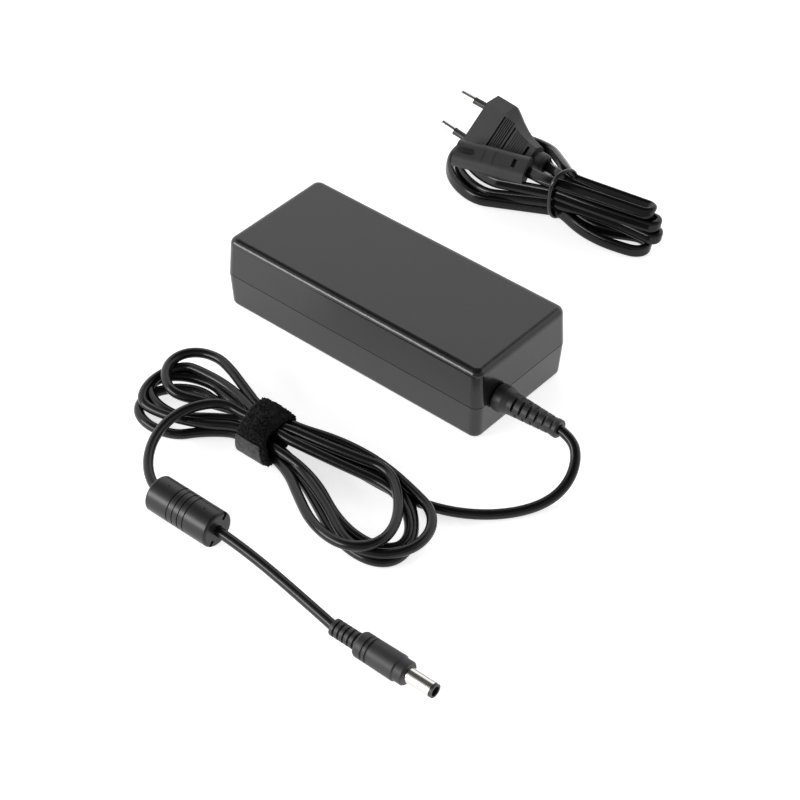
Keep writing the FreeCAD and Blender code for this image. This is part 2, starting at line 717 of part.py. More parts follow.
def connector_contacts():
    sleeves = []
    for side in (-1, 1):
        y = side * INLET_PIN_PITCH / 2
        outer = rod((1.5, y, 0), (13, y, 0), 1.7)
        sleeves.append(outer.cut(rod((1, y, 0), (12, y, 0), 1.35)))
    return Part.makeCompound(sleeves)


# ---------------------------------------------------------------- mains cord
def flat_cord(start, end):
    """Straight stretch of the flat two-core cord, standing on its narrow edge."""
    start = Vector(*start)
    along = Vector(*end) - start
    bar = stadium_bar(FLAT_CORD_WIDTH, FLAT_CORD_THICKNESS, 0, along.Length)
    across = along.cross(Vector(0, 0, 1))
    return bar.transformed(Placement(start, Rotation(along, Vector(0, 0, 1), across, "XYZ")).toMatrix())


def mains_cord_hank():
    """Outer shape of the folded mains cord: nested left loops, waist, stacked right folds."""
    left_outline = [
        (0, 114.5), (-14, 108.5), (-28, 103.5), (-43, 101.8), (-57, 107.5), (-67, 118), (-70, 131),
        (-64, 146), (-50, 154), (-33, 156), (-16, 150), (-6, 140), (1, 130),
    ]
    left_hollow = [(-14, 121), (-24, 118.5), (-38, 119), (-48, 131), (-42, 139), (-30, 142), (-14, 136)]
    shoulder_outline = [(-18, 111), (-8, 112), (2, 114), (2, 128), (-8, 138), (-18, 144)]
    stack_outline = [
        (-2, 114), (12, 115.5), (30, 120.5), (46, 125.5), (54.5, 129), (54, 134), (46, 136), (30, 133),
        (12, 129), (-2, 127),
    ]
    lowest_outline = [(2, 116), (14, 113), (25, 111), (38, 112.5), (48, 117), (51.5, 126), (40, 131), (10, 126)]
    left = polygon_prism(left_outline, 0, FLAT_CORD_WIDTH).cut(polygon_prism(left_hollow, -1, 7))
    shoulder = polygon_prism(shoulder_outline, 0, 10)
    stack = polygon_prism(stack_outline, 0, 4 * FLAT_CORD_WIDTH)
    lowest = polygon_prism(lowest_outline, 0, FLAT_CORD_WIDTH)
    hank = joined([left, shoulder, stack, lowest])
    for clear in (plug_space(), connector_space(), tie_ring(TIE_RADIUS + 0.1)):
        hank = hank.cut(clear)
    return max(hank.Solids, key=lambda solid: solid.Volume)


def plug_space():
    space = stadium_bar(36.0, 16.0, -1, 45)
    return space.transformed(MAINS_PLUG_PLACE.toMatrix())


def connector_space():
    space = stadium_bar(16.0, 10.4, -1, CONNECTOR_LENGTH + 0.5)
    return space.transformed(CONNECTOR_PLACE.toMatrix())


def tie_ring(radius):
    """Upright oval ring of round section about the mains cord's waist."""
    oval = Part.Ellipse(
        TIE_CENTRE + Vector(0, 0, TIE_HALF_HEIGHT), TIE_CENTRE + TIE_ACROSS * TIE_HALF_WIDTH, TIE_CENTRE
    )
    path = Part.Wire([oval.toShape()])
    start = oval.value(0)
    section = Part.Wire([Part.makeCircle(radius, start, oval.tangent(0)[0])])
    return path.makePipeShell([section], True, True)


def wire_tie():
    """Thin wire bound once round the folded mains cord."""
    return tie_ring(TIE_RADIUS)


# ---------------------------------------------------------------- every node
def placed(shape, place):
    return shape.transformed(place.toMatrix())


NODES = {
    "top_cover": top_cover(),
    "bottom_cover": bottom_cover(),
    "inlet_housing": inlet_housing(),
    "inlet_pin_live": inlet_pin(1),
    "inlet_pin_neutral": inlet_pin(-1),
    "inlet_wires": inlet_wires(),
    "circuit_board": circuit_board(),
    "insulating_sheet": insulating_sheet(),
    "heat_spreader": heat_spreader(),
    "fuse": fuse(),
    "thermistor": thermistor(),
    "x_capacitor": x_capacitor(),
    "common_mode_choke_core": choke_core(),
    "common_mode_choke_winding": choke_winding(),
    "bridge_rectifier": bridge_rectifier(),
    "bulk_capacitor": bulk_capacitor(),
    "primary_heat_sink": heat_sink((-2, 24)),
    "switching_transistor": power_package(10),
    "transformer_core": transformer_core(),
    "transformer_winding": transformer_winding(),
    "y_capacitor": y_capacitor(),
    "optocoupler": optocoupler(),
    "controller_chip": controller_chip(),
    "secondary_heat_sink": heat_sink((30, 52)),
    "output_rectifier": power_package(42),
    "output_capacitor_a": output_capacitor(10),
    "output_capacitor_b": output_capacitor(-1),
    "output_choke": output_choke(),
    "output_wires": output_wires(),
    "strain_relief": strain_relief(),
    "dc_cord_entry": cord_entry(),
    "dc_cord_lead": cord_tube("dc_cord_lead", LEAD_ROUTE),
    "dc_cord_hank": dc_cord_hank(),
    "cable_strap": cable_strap(),
    "dc_cord_tail": cord_tube("dc_cord_tail", TAIL_ROUTE),
    "ferrite_case_upper": ferrite_case_half(1),
    "ferrite_case_lower": ferrite_case_half(-1),
    "ferrite_core": ferrite_core(),
    "dc_cord_in_ferrite": cord_in_ferrite(),
    "dc_cord_straight": cord_tube("dc_cord_straight", STRAIGHT_ROUTE),
    "dc_plug_body": dc_plug_body(),
    "dc_plug_barrel": dc_plug_barrel(),
    "dc_plug_tip_ring": dc_plug_tip_ring(),
    "dc_plug_inner_contact": dc_plug_inner_contact(),
    "dc_plug_centre_pin": dc_plug_centre_pin(),
    "mains_plug_body": placed(mains_plug_body(), MAINS_PLUG_PLACE),
    "mains_pin_live": placed(mains_pin(1), MAINS_PLUG_PLACE),
    "mains_pin_neutral": placed(mains_pin(-1), MAINS_PLUG_PLACE),
    "mains_pin_sleeves": placed(mains_pin_sleeves(), MAINS_PLUG_PLACE),
    "c7_connector_body": placed(connector_body(), CONNECTOR_PLACE),
    "c7_contacts": placed(connector_contacts(), CONNECTOR_PLACE),
    "mains_cord_to_plug": flat_cord((-15.4, 132.3, 15.5), (-4.0, 127.5, 18.5)),
    "mains_cord_to_connector": flat_cord((-17.3, 119.9, 18.1), (-5.0, 118.5, 19.4)),
    "mains_cord_hank": mains_cord_hank(),
    "wire_tie": wire_tie(),
}

os.makedirs("parts", exist_ok=True)
for node, shape in NODES.items():
    print("%-26s solids %d valid %s volume %.1f" % (node, len(shape.Solids), shape.isValid(), shape.Volume))
    shape.exportStep("parts/" + node + ".step")
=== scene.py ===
import json
import math
import random

import bmesh
import bpy
from mathutils import Matrix, Vector


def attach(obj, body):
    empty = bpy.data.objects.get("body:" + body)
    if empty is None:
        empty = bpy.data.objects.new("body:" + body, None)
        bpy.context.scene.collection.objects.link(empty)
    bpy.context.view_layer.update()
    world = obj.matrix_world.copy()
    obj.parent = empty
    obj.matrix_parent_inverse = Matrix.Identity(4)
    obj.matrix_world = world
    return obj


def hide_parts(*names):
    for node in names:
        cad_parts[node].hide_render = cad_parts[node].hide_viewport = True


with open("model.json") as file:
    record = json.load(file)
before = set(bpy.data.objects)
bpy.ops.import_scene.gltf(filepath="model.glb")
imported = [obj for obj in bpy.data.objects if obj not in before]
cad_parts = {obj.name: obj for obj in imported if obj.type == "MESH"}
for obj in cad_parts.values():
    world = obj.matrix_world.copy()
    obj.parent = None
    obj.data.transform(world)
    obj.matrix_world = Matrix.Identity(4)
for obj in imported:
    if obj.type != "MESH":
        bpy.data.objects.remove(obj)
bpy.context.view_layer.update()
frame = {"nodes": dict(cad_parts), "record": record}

MM = 0.001

# ------------------------------------------- driving values (millimetres and degrees, unless said otherwise)
CORD_DIAMETER = 4.5
RELIEF_EXIT = (106.0, -17.4, 18.1)
# How finely a cord is drawn: round its section, and along each span between control points.
CORD_ROUND_STEPS = 6
SPLINE_STEPS = 10

# The strap: its middle (x, y), and how far to each side of it the strands are led in.
STRAP_CENTRE = (4.0, -88.0)
STRAP_EDGE = 9.0
# Rounded outline (y, z) of the strands inside the strap, and how far the band runs askew (x per y).
WAIST_CENTRE = (-89.6, 7.4)
WAIST_HALF = (11.0, 6.0)
WAIST_SQUARENESS = 2.3
BAND_SLANT = -0.26
# The wound strap is thickest in front, at this angle round the waist, where its turns lie on each other.
WRAP_THICKEST_AT = 155.0
WRAP_THIN = 1.6
WRAP_THICK = 3.4
WRAP_LAYERS = 3
WRAP_CROWN = 1.1
# Its right rim is drawn in most at this angle, where the strands push out.
RIM_PULL = 3.4
RIM_PULL_AT = 125.0
RIM_PULL_SPREAD = 42.0
# How finely the band is drawn, and how far each layer's edge stands out over the middle of its thickness.
BAND_STEP = 2.0
BAND_COLUMNS = 30
EDGE_BULGE = 0.4
BULGE_FROM = 0.3
BULGE_TO = 0.7
# The wound turns, and the woven tab that lies on them between two angles and sinks into them a little.
# Fuzz is how uneven the surface is, drawn from each piece's own seed.
LOOP_SHIFT = 1.6
LOOP_WIDTH = 16.4
LOOP_FUZZ = 0.6
LOOP_SEED = 3
TAB_START = 158.0
TAB_END = 258.0
TAB_SHIFT = 0.6
TAB_WIDTH = 14.6
TAB_THICKNESS = 0.9
TAB_SINK = 0.15
TAB_FUZZ = 0.05
TAB_SEED = 5
# Nothing of the strap comes closer to the floor than this.
FLOOR_GAP = 0.05

# The round end of every lobe: how many control points it has, and how far it turns to each side of its tip.
CAP_POINTS = 7
CAP_HALF_TURN = 100.0

# Low-voltage cord from the strain relief to the floor and on under the hank's right lobes.
LEAD_ROUTE = [
    RELIEF_EXIT,
    (113.2, -18.0, 17.2),
    (118.6, -22.0, 12.9),
    (121.2, -29.0, 7.4),
    (120.8, -38.4, 3.6),
    (117.0, -49.4, 2.3),
    (109.0, -61.0, 2.3),
    (97.4, -70.4, 2.3),
    (83.0, -76.6, 2.3),
    (64.0, -79.6, 2.3),
]
# From the strap over the hank's left lobes and round into the ferrite.
TAIL_ROUTE = [
    (-15.8, -92.0, 12.3),
    (-23.6, -100.6, 12.6),
    (-27.4, -112.0, 12.0),
    (-26.0, -124.0, 10.6),
    (-20.6, -134.4, 9.4),
    (-12.4, -142.6, 8.5),
    (-2.0, -147.5, 8.1),
]
# Through the ferrite and straight on to the plug.
STRAIGHT_ROUTE = [
    (32.0, -147.5, 8.1),
    (53.0, -148.4, 7.2),
    (77.0, -151.2, 6.2),
    (101.0, -155.0, 5.9),
]
# Where each strand lies in the strap, in order of travel: left and right (y, z).
STRAP_LANES = [
    ((-81.0, 4.6), (-81.2, 4.6)),
    ((-96.6, 4.4), (-94.5, 3.6)),
    ((-85.4, 7.4), (-86.2, 7.4)),
    ((-90.4, 7.0), (-96.6, 8.6)),
    ((-87.2, 11.2), (-91.8, 11.6)),
    ((-95.6, 8.2), (-93.2, 7.0)),
    ((-83.4, 10.8), (-82.2, 9.2)),
    ((-83.0, 4.0), (-97.0, 4.2)),
    ((-91.4, 10.6), (-86.6, 11.8)),
]
# Each lobe in order of travel: direction from the strap in degrees, reach, half length and half width of
# its round end, sideways shift, sideways bow of the run out and the run back, and the heights of the
# round end at its start, tip and end.
LOBES = [
    (202.3, 59.8, 19.7, 14.6, -2.0, 3.0, 1.5, (4.0, 2.6, 2.6)),
    (-31.1, 89.2, 36.1, 19.0, 26.1, 1.7, 1.5, (3.0, 2.6, 4.0)),
    (187.3, 60.1, 21.0, 12.6, 1.6, 1.6, 1.0, (6.0, 5.0, 5.5)),
    (-18.6, 87.7, 25.6, 14.1, 13.1, 3.9, 0.4, (5.0, 3.5, 6.5)),
    (178.9, 58.6, 9.8, 14.8, 9.2, -2.2, -3.1, (9.0, 7.0, 5.5)),
    (-10.7, 94.6, 19.6, 19.8, 4.4, 3.0, -5.8, (6.0, 6.5, 7.0)),
    (160.0, 56.6, 18.1, 14.2, 13.0, 0.0, 0.5, (12.5, 11.5, 10.5)),
    (-35.0, 83.7, 36.6, 20.5, 23.7, 1.7, 0.7, (6.0, 10.5, 9.5)),
]

# Flat two-core mains cord. Its section stands on edge. The powers, under 1, fill out its edges and flanks,
# and the groove between the two cores is given as shares of the half thickness and half width.
FLAT_WIDTH = 5.6
FLAT_THICKNESS = 3.5
FLAT_SECTION_POINTS = 28
EDGE_POWER = 0.75
FLANK_POWER = 0.6
GROOVE_DEPTH = 0.07
GROOVE_SPREAD = 0.16
# Over this length the two ends turn to fit the connector and the plug.
TWIST_LENGTH = 34.0
CONNECTOR_TWIST = -30.0
PLUG_TWIST = 10.0
# The strands lean over in the folds, and lean further from this height up.
FOLD_LEAN = -18.0
TOP_LEAN = -42.0
TOP_LEAN_FROM = 15.0
TOP_LEAN_OVER = 4.0
# The tie: its middle (x, y), and how far to each side of it the strands are led in.
TIE_CENTRE = (2.5, 120.5)
TIE_EDGE = 2.0
# The tie's own outline: centre and half size (y, z), the angle it is turned by, and its wire.
TIE_MIDDLE = (121.8, 13.6)
TIE_HALF = (8.6, 12.6)
TIE_SQUARENESS = 2.6
TIE_YAW = 12.0
TIE_WIDTH = 2.3
TIE_THICKNESS = 1.6
TIE_STEPS = 96
TIE_SECTION_POINTS = 12
# From the connector to the tie, and from the tie's top to the plug.
MAINS_START = [
    (-17.5, 119.8, 18.1),
    (-12.5, 119.2, 18.6),
    (-7.0, 118.0, 19.6),
]
MAINS_END = [
    (-4.5, 125.2, 20.6),
    (-9.5, 128.8, 17.8),
    (-15.2, 132.5, 15.4),
]
# Where each strand lies in the tie, in order of travel: left and right (y, z).
TIE_LANES = [
    ((118.3, 20.4), (119.2, 20.4)),
    ((129.0, 19.6), (127.4, 19.6)),
    ((118.8, 4.6), (119.6, 4.6)),
    ((125.0, 4.6), (123.4, 4.6)),
    ((117.8, 10.2), (118.6, 10.2)),
    ((123.8, 10.2), (122.3, 10.2)),
    ((117.0, 15.6), (117.6, 15.6)),
    ((123.2, 21.2), (122.9, 20.2)),
]
# Each fold in order of travel, as for the other cord's lobes.
MAINS_LOBES = [
    (13.6, 46.0, 3.4, 3.2, 0.0, 0.0, 0.0, (19.6, 19.6, 19.6)),
    (170.0, 71.8, 32.0, 25.3, -0.3, -0.5, 0.0, (10.0, 2.8, 2.8)),
    (16.0, 47.5, 7.6, 6.0, -7.5, -3.6, 5.0, (2.8, 2.8, 2.8)),
    (170.0, 68.4, 30.0, 21.0, -0.8, -0.5, 0.0, (2.8, 2.8, 4.5)),
    (10.1, 51.5, 3.8, 3.5, 0.5, 1.4, 0.5, (8.4, 8.4, 8.4)),
    (170.0, 65.5, 28.0, 18.0, -2.4, -0.5, 0.0, (7.5, 7.0, 10.0)),
    (12.1, 50.0, 3.8, 3.5, 0.0, -0.6, 0.5, (14.0, 14.0, 14.0)),
]

# Camera: place, angles, lens and sensor; it sees nothing nearer than CLIP_START, in metres.
CAMERA_PLACE = (509.04, -611.08, 661.23)
CAMERA_AZIMUTH = 39.543
CAMERA_ELEVATION = 41.321
CAMERA_ROLL = 0.942
CAMERA_LENS = 103.26
SENSOR_WIDTH = 36.0
CLIP_START = 0.05
# Floor: half its side in metres, its grey, and the light it gives off by itself.
FLOOR_HALF = 6.0
FLOOR_GREY = 0.8
FLOOR_ROUGHNESS = 0.6
FLOOR_GLOW = 0.72
# Studio: sines of the elevations where the walls end and the ceiling is fully dark, and the ceiling's share.
WALL_TOP = 0.73
CEILING_START = 0.80
CEILING_SHARE = 0.07
# Brightness of the walls behind the object and behind the camera, and where one passes into the other, as
# the cosine of the angle from the way the camera faces.
BACK_WALL = 1.3
FRONT_WALL = 0.4
FRONT_WALL_TO = -0.6
BACK_WALL_FROM = 0.3
# Key light: place and size in metres, power in watts.
KEY_PLACE = (-0.62, -1.09, 0.42)
KEY_SIZE = (1.0, 0.45)
KEY_POWER = 12.0


# ---------------------------------------------------------------- materials
def new_material(name, base, roughness, metallic=0.0):
    """A material, its node tree and its Principled shader with the given uniform values."""
    material = bpy.data.materials.new(name)
    material.use_nodes = True
    tree = material.node_tree
    shader = tree.nodes["Principled BSDF"]
    shader.inputs["Base Color"].default_value = (*base, 1.0)
    shader.inputs["Roughness"].default_value = roughness
    shader.inputs["Metallic"].default_value = metallic
    return material, tree, shader


def noise(tree, scale, detail=2.0, roughness=0.5):
    """Noise over the object's own coordinates; scale is in cells per metre."""
    place = tree.nodes.new("ShaderNodeTexCoord")
    texture = tree.nodes.new("ShaderNodeTexNoise")
    texture.inputs["Scale"].default_value = scale
    texture.inputs["Detail"].default_value = detail
    texture.inputs["Roughness"].default_value = roughness
    tree.links.new(place.outputs["Object"], texture.inputs["Vector"])
    return texture.outputs["Fac"]


def spread(tree, factor, low, high):
    """Maps a pattern of 0 to 1 to the range low to high."""
    node = tree.nodes.new("ShaderNodeMapRange")
    node.inputs["To Min"].default_value = low
    node.inputs["To Max"].default_value = high
    tree.links.new(factor, node.inputs["Value"])
    return node.outputs["Result"]


def shades(tree, factor, dark, light):
    """Colour ramp between two colours."""
    ramp = tree.nodes.new("ShaderNodeValToRGB")
    ramp.color_ramp.elements[0].position = 0.3
    ramp.color_ramp.elements[0].color = (*dark, 1.0)
    ramp.color_ramp.elements[1].position = 0.7
    ramp.color_ramp.elements[1].color = (*light, 1.0)
    tree.links.new(factor, ramp.inputs["Fac"])
    return ramp.outputs["Color"]


def bump(tree, shader, height, depth, strength=1.0, below=None):
    """Adds a bump of the given depth in metres; below is an earlier bump's normal."""
    node = tree.nodes.new("ShaderNodeBump")
    node.inputs["Distance"].default_value = depth
    node.inputs["Strength"].default_value = strength
    tree.links.new(height, node.inputs["Height"])
    if below is not None:
        tree.links.new(below, node.inputs["Normal"])
    tree.links.new(node.outputs["Normal"], shader.inputs["Normal"])
    return node.outputs["Normal"]


def moulded(name, dark, light, rough_low, rough_high, grain_scale, grain_depth, shine=0.5):
    """Moulded plastic or rubber: cloudy colour, uneven gloss, faint waves and a fine grain."""
    cloud_scale = 90.0
    gloss_scale = 350.0
    wave_scale = 260.0
    wave_depth = 0.00006
    wave_strength = 0.35
    material, tree, shader = new_material(name, dark, rough_low)
    shader.inputs["Specular IOR Level"].default_value = shine
    clouds = shades(tree, noise(tree, cloud_scale), dark, light)
    tree.links.new(clouds, shader.inputs["Base Color"])
    gloss = spread(tree, noise(tree, gloss_scale, 3.0), rough_low, rough_high)
    tree.links.new(gloss, shader.inputs["Roughness"])
    wavy = bump(tree, shader, noise(tree, wave_scale, 1.0), wave_depth, wave_strength)
    bump(tree, shader, noise(tree, grain_scale), grain_depth, 1.0, wavy)
    return material


def metal(name, base, roughness):
    """Plated or mill-finish metal with faint blotches in its gloss."""
    blotch_scale = 900.0
    grain_scale = 2500.0
    grain_depth = 0.000006
    material, tree, shader = new_material(name, base, roughness, 1.0)
    gloss = spread(tree, noise(tree, blotch_scale, 3.0), roughness * 0.7, roughness * 1.4)
    tree.links.new(gloss, shader.inputs["Roughness"])
    bump(tree, shader, noise(tree, grain_scale), grain_depth, 0.5)
    return material


def looped_fabric(name, dark, light, scale, depth):
    """Brushed loop pile: speckled colour and deep fine bumps that scatter the light."""
    material, tree, shader = new_material(name, dark, 0.85)
    shader.inputs["Specular IOR Level"].default_value = 0.1
    shader.inputs["Sheen Weight"].default_value = 0.05
    shader.inputs["Sheen Roughness"].default_value = 0.4
    pile = noise(tree, scale, 4.0, 0.7)
    tree.links.new(shades(tree, pile, dark, light), shader.inputs["Base Color"])
    tree.links.new(spread(tree, noise(tree, scale * 2), 0.7, 0.95), shader.inputs["Roughness"])
    bump(tree, shader, pile, depth)
    return material


def woven_tape(name, dark, light):
    """Tight plain weave: two crossed rows of threads."""
    thread_scale = 480.0
    thread_depth = 0.0003
    material, tree, shader = new_material(name, dark, 0.6)
    place = tree.nodes.new("ShaderNodeTexCoord")
    rows = []
    for direction in ("X", "Z"):
        wave = tree.nodes.new("ShaderNodeTexWave")
        wave.bands_direction = direction
        wave.inputs["Scale"].default_value = thread_scale
        wave.inputs["Distortion"].default_value = 2.0
        tree.links.new(place.outputs["Object"], wave.inputs["Vector"])
        rows.append(wave.outputs["Fac"])
    threads = tree.nodes.new("ShaderNodeMath")
    threads.operation = "MULTIPLY"
    tree.links.new(rows[0], threads.inputs[0])
    tree.links.new(rows[1], threads.inputs[1])
    tree.links.new(shades(tree, noise(tree, 700.0, 3.0), dark, light), shader.inputs["Base Color"])
    bump(tree, shader, threads.outputs["Value"], thread_depth)
    return material


def grey(level):
    """Neutral grey with a trace of blue."""
    return (level, level, level * 1.03)


# Each finish by its slot's name: the function that makes it, then that function's values after the name.
FINISH_VALUES = {
    "case_plastic": (moulded, grey(0.008), grey(0.010), 0.16, 0.20, 1700.0, 0.000012),
    "inlet_plastic": (moulded, grey(0.02), grey(0.024), 0.5, 0.6, 3000.0, 0.00002),
    "inlet_metal": (metal, (0.66, 0.63, 0.58), 0.25),
    "board": (moulded, (0.30, 0.22, 0.11), (0.36, 0.27, 0.14), 0.55, 0.7, 1500.0, 0.00003),
    "sheet_plastic": (moulded, (0.7, 0.7, 0.66), (0.78, 0.78, 0.74), 0.4, 0.5, 800.0, 0.00002),
    "aluminium_sheet": (metal, (0.75, 0.75, 0.76), 0.35),
    "ceramic": (moulded, (0.08, 0.2, 0.4), (0.1, 0.25, 0.48), 0.25, 0.35, 900.0, 0.00003),
    "film_capacitor": (moulded, (0.6, 0.46, 0.07), (0.66, 0.52, 0.1), 0.35, 0.45, 900.0, 0.00002),
    "ferrite": (moulded, grey(0.035), grey(0.05), 0.5, 0.65, 2500.0, 0.00004),
    "copper_wire": (metal, (0.68, 0.27, 0.12), 0.3),
    "tape": (moulded, (0.7, 0.47, 0.05), (0.76, 0.54, 0.08), 0.25, 0.35, 700.0, 0.00003),
    "package_plastic": (moulded, grey(0.02), grey(0.026), 0.45, 0.6, 3000.0, 0.00003),
    "capacitor_sleeve": (moulded, (0.02, 0.03, 0.06), (0.03, 0.04, 0.08), 0.25, 0.35, 900.0, 0.00002),
    "wire_insulation": (moulded, (0.35, 0.03, 0.025), (0.42, 0.04, 0.03), 0.35, 0.45, 900.0, 0.00002),
    "cord_rubber": (moulded, grey(0.005), grey(0.007), 0.18, 0.23, 1500.0, 0.000006, 0.32),
    "moulded_rubber": (moulded, grey(0.014), grey(0.018), 0.42, 0.52, 2500.0, 0.00003),
    "hook_loop_fabric": (looped_fabric, grey(0.001), grey(0.03), 1100.0, 0.001),
    "ferrite_case_plastic": (moulded, grey(0.008), grey(0.011), 0.28, 0.36, 2200.0, 0.00002, 0.38),
    "nickel": (metal, (0.72, 0.70, 0.67), 0.16),
    "black_insulator": (moulded, grey(0.016), grey(0.02), 0.35, 0.45, 2000.0, 0.00002),
    "mains_plug_plastic": (moulded, grey(0.03), grey(0.036), 0.5, 0.6, 3000.0, 0.00003),
    "mains_cord_rubber": (moulded, grey(0.003), grey(0.005), 0.13, 0.18, 1500.0, 0.000006, 0.32),
    "tie_plastic": (moulded, grey(0.005), grey(0.007), 0.22, 0.3, 2000.0, 0.00001),
}
FINISHES = {name: make(name, *values) for name, (make, *values) in FINISH_VALUES.items()}
for part in frame["record"]["subparts"]:
    node = frame["nodes"][part["node"]]
    if not node.material_slots:
        node.data.materials.append(None)
    for slot in node.material_slots:
        slot.material = FINISHES[part["material_slot"]]


# ---------------------------------------------------------------- building pieces
def add_object(name, data):
    """An object in the scene that shows the data."""
    piece = bpy.data.objects.new(name, data)
    bpy.context.scene.collection.objects.link(piece)
    return piece


def skin(name, rings, closed):
    """Smooth tube over rings of points in metres: closed on itself, or open with flat ends."""
    mesh = bmesh.new()
    loops = [[mesh.verts.new(point) for point in ring] for ring in rings]
    pairs = list(zip(loops, loops[1:]))
    if closed:
        pairs.append((loops[-1], loops[0]))
    for ring, following in pairs:
        for index in range(len(ring)):
            nearby = (index + 1) % len(ring)
            face = mesh.faces.new((ring[index], ring[nearby], following[nearby], following[index]))
            face.smooth = True
    if not closed:
        mesh.faces.new(list(reversed(loops[0])))
        mesh.faces.new(loops[-1])
    bmesh.ops.recalc_face_normals(mesh, faces=mesh.faces)
    data = bpy.data.meshes.new(name)
    mesh.to_mesh(data)
    mesh.free()
    return add_object(name, data)


def finish_piece(piece, slot_name, body):
    """Gives a piece the material named by its slot, and the body it rides on."""
    piece.data.materials.append(FINISHES[slot_name])
    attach(piece, body)


# ---------------------------------------------------------------- hook-and-loop strap
def wrap_thickness(angle):
    """Thickness of all the strap's turns at an angle round the waist, in radians."""
    share = 0.5 + 0.5 * math.cos(angle - math.radians(WRAP_THICKEST_AT))
    return WRAP_THIN + (WRAP_THICK - WRAP_THIN) * share


def band(name, start, end, layers, shift, width, fuzz, seed, tab_thickness=None):
    """Band round the hank's waist: all the wound turns, or a tab of the given thickness lying on them."""
    rand = random.Random(seed)
    wound = tab_thickness is None
    steps = round((end - start) / BAND_STEP)
    rings = []
    for step in range(steps if wound else steps + 1):
        angle = math.radians(start + BAND_STEP * step)
        place, outward = rounded_outline(angle, WAIST_CENTRE, WAIST_HALF, WAIST_SQUARENESS)
        from_pull = (math.degrees(angle) - RIM_PULL_AT) / RIM_PULL_SPREAD
        ring = []
        for along, through in edge_profile(width, layers):
            off_middle = 2 * along / width
            crown = WRAP_CROWN * (0.5 - off_middle ** 2) * max(0.0, math.sin(angle))
            if wound:
                lift = (wrap_thickness(angle) + crown) * through
            else:
                lift = wrap_thickness(angle) + crown - TAB_SINK + tab_thickness * through
            if through == 1:
                lift += rand.uniform(-fuzz, fuzz)
            point = place + outward * lift
            slant = BAND_SLANT * (point.x - WAIST_CENTRE[0])
            pull = RIM_PULL * math.exp(-from_pull ** 2) * max(0.0, 0.5 + off_middle / 2) ** 2
            x = STRAP_CENTRE[0] + shift + slant + along - pull + rand.uniform(-fuzz, fuzz)
            ring.append(Vector((x, point.x, max(point.y, FLOOR_GAP))) * MM)
        rings.append(ring)
    return skin(name, rings, wound)


def rounded_outline(angle, centre, half, squareness):
    """Point of a rounded box outline at an angle in radians, and the outward direction there."""

    def at(turn):
        flat = math.copysign(abs(math.cos(turn)) ** (2 / squareness), math.cos(turn))
        high = math.copysign(abs(math.sin(turn)) ** (2 / squareness), math.sin(turn))
        return Vector((centre[0] + half[0] * flat, centre[1] + half[1] * high))

    tangent = at(angle + 0.01) - at(angle - 0.01)
    return at(angle), Vector((tangent.y, -tangent.x)).normalized()


def edge_profile(width, layers):
    """Band's section, as (along the cords, share of the thickness), each layer bulging at the edges."""
    points = [(width * (index / BAND_COLUMNS - 0.5), 1) for index in range(BAND_COLUMNS + 1)]
    edge = []
    for layer in range(layers):
        edge.append((width / 2 + EDGE_BULGE, 1 - (layer + BULGE_FROM) / layers))
        edge.append((width / 2 + EDGE_BULGE, 1 - (layer + BULGE_TO) / layers))
        if layer < layers - 1:
            edge.append((width / 2 - EDGE_BULGE / 2, 1 - (layer + 1) / layers))
    points += edge
    points += [(width * (0.5 - index / BAND_COLUMNS), 0) for index in range(BAND_COLUMNS + 1)]
    points += [(-along, through) for along, through in reversed(edge)]
    return points


strap_loop = band("strap_loop", 0.0, 360.0, WRAP_LAYERS, LOOP_SHIFT, LOOP_WIDTH, LOOP_FUZZ, LOOP_SEED)
finish_piece(strap_loop, "hook_loop_fabric", "root")
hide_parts("cable_strap")
strap_tab = band("strap_tab", TAB_START, TAB_END, 1, TAB_SHIFT, TAB_WIDTH, TAB_FUZZ, TAB_SEED, TAB_THICKNESS)
strap_tab.data.materials.append(woven_tape("woven_tape", grey(0.015), grey(0.07)))
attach(strap_tab, "root")


# ---------------------------------------------------------------- cords
def hank_lobe(edge_in, edge_out, middle, lobe):
    """Control points of one loop of a hank, from its binding's edge out, round and back to the same edge."""
    aim, reach, along, across, shift, bow_in, bow_out, heights = lobe
    turn = math.radians(aim)
    outward = Vector((math.cos(turn), math.sin(turn)))
    sideways = Vector((-outward.y, outward.x))
    centre = Vector(middle) + outward * (reach - along) + sideways * shift
    start, tip, end = heights
    cap = []
    for index in range(CAP_POINTS):
        share = index / (CAP_POINTS - 1)
        angle = math.radians(CAP_HALF_TURN * (2 * share - 1))
        flat = centre + outward * (along * math.cos(angle)) + sideways * (across * math.sin(angle))
        height = start + (tip - start) * 2 * share if share < 0.5 else tip + (end - tip) * (2 * share - 1)
        cap.append(Vector((flat.x, flat.y, height)))
    run_out = run_points(edge_in, cap[0], bow_in)
    run_back = run_points(cap[-1], edge_out, bow_out)
    return [edge_in] + run_out + cap + run_back + [edge_out]


def run_points(start, end, bow):
    """Two points a third and two thirds of the way from start to end, both moved sideways by bow."""
    along = (end - start).xy
    sideways = Vector((-along.y, along.x)).normalized() * bow
    return [start + (end - start) * share + sideways.to_3d() for share in (0.33, 0.67)]


def hank_route(lead_in, first_side, lanes, lobes, middle, edge, lead_out):
    """Control points of a whole hanked cord: in from side 0 (left) or 1 (right), lobe by lobe, and out."""

    def gate(lane, side):
        return Vector((middle[0] + (edge if side else -edge), *lanes[lane][side]))

    side = 1 - first_side
    points = [Vector(point) for point in lead_in] + [gate(0, first_side)]
    for index, lobe in enumerate(lobes):
        points += hank_lobe(gate(index, side), gate(index + 1, side), middle, lobe)
        side = 1 - side
    points.append(gate(len(lobes), side))
    return points + [Vector(point) for point in lead_out]


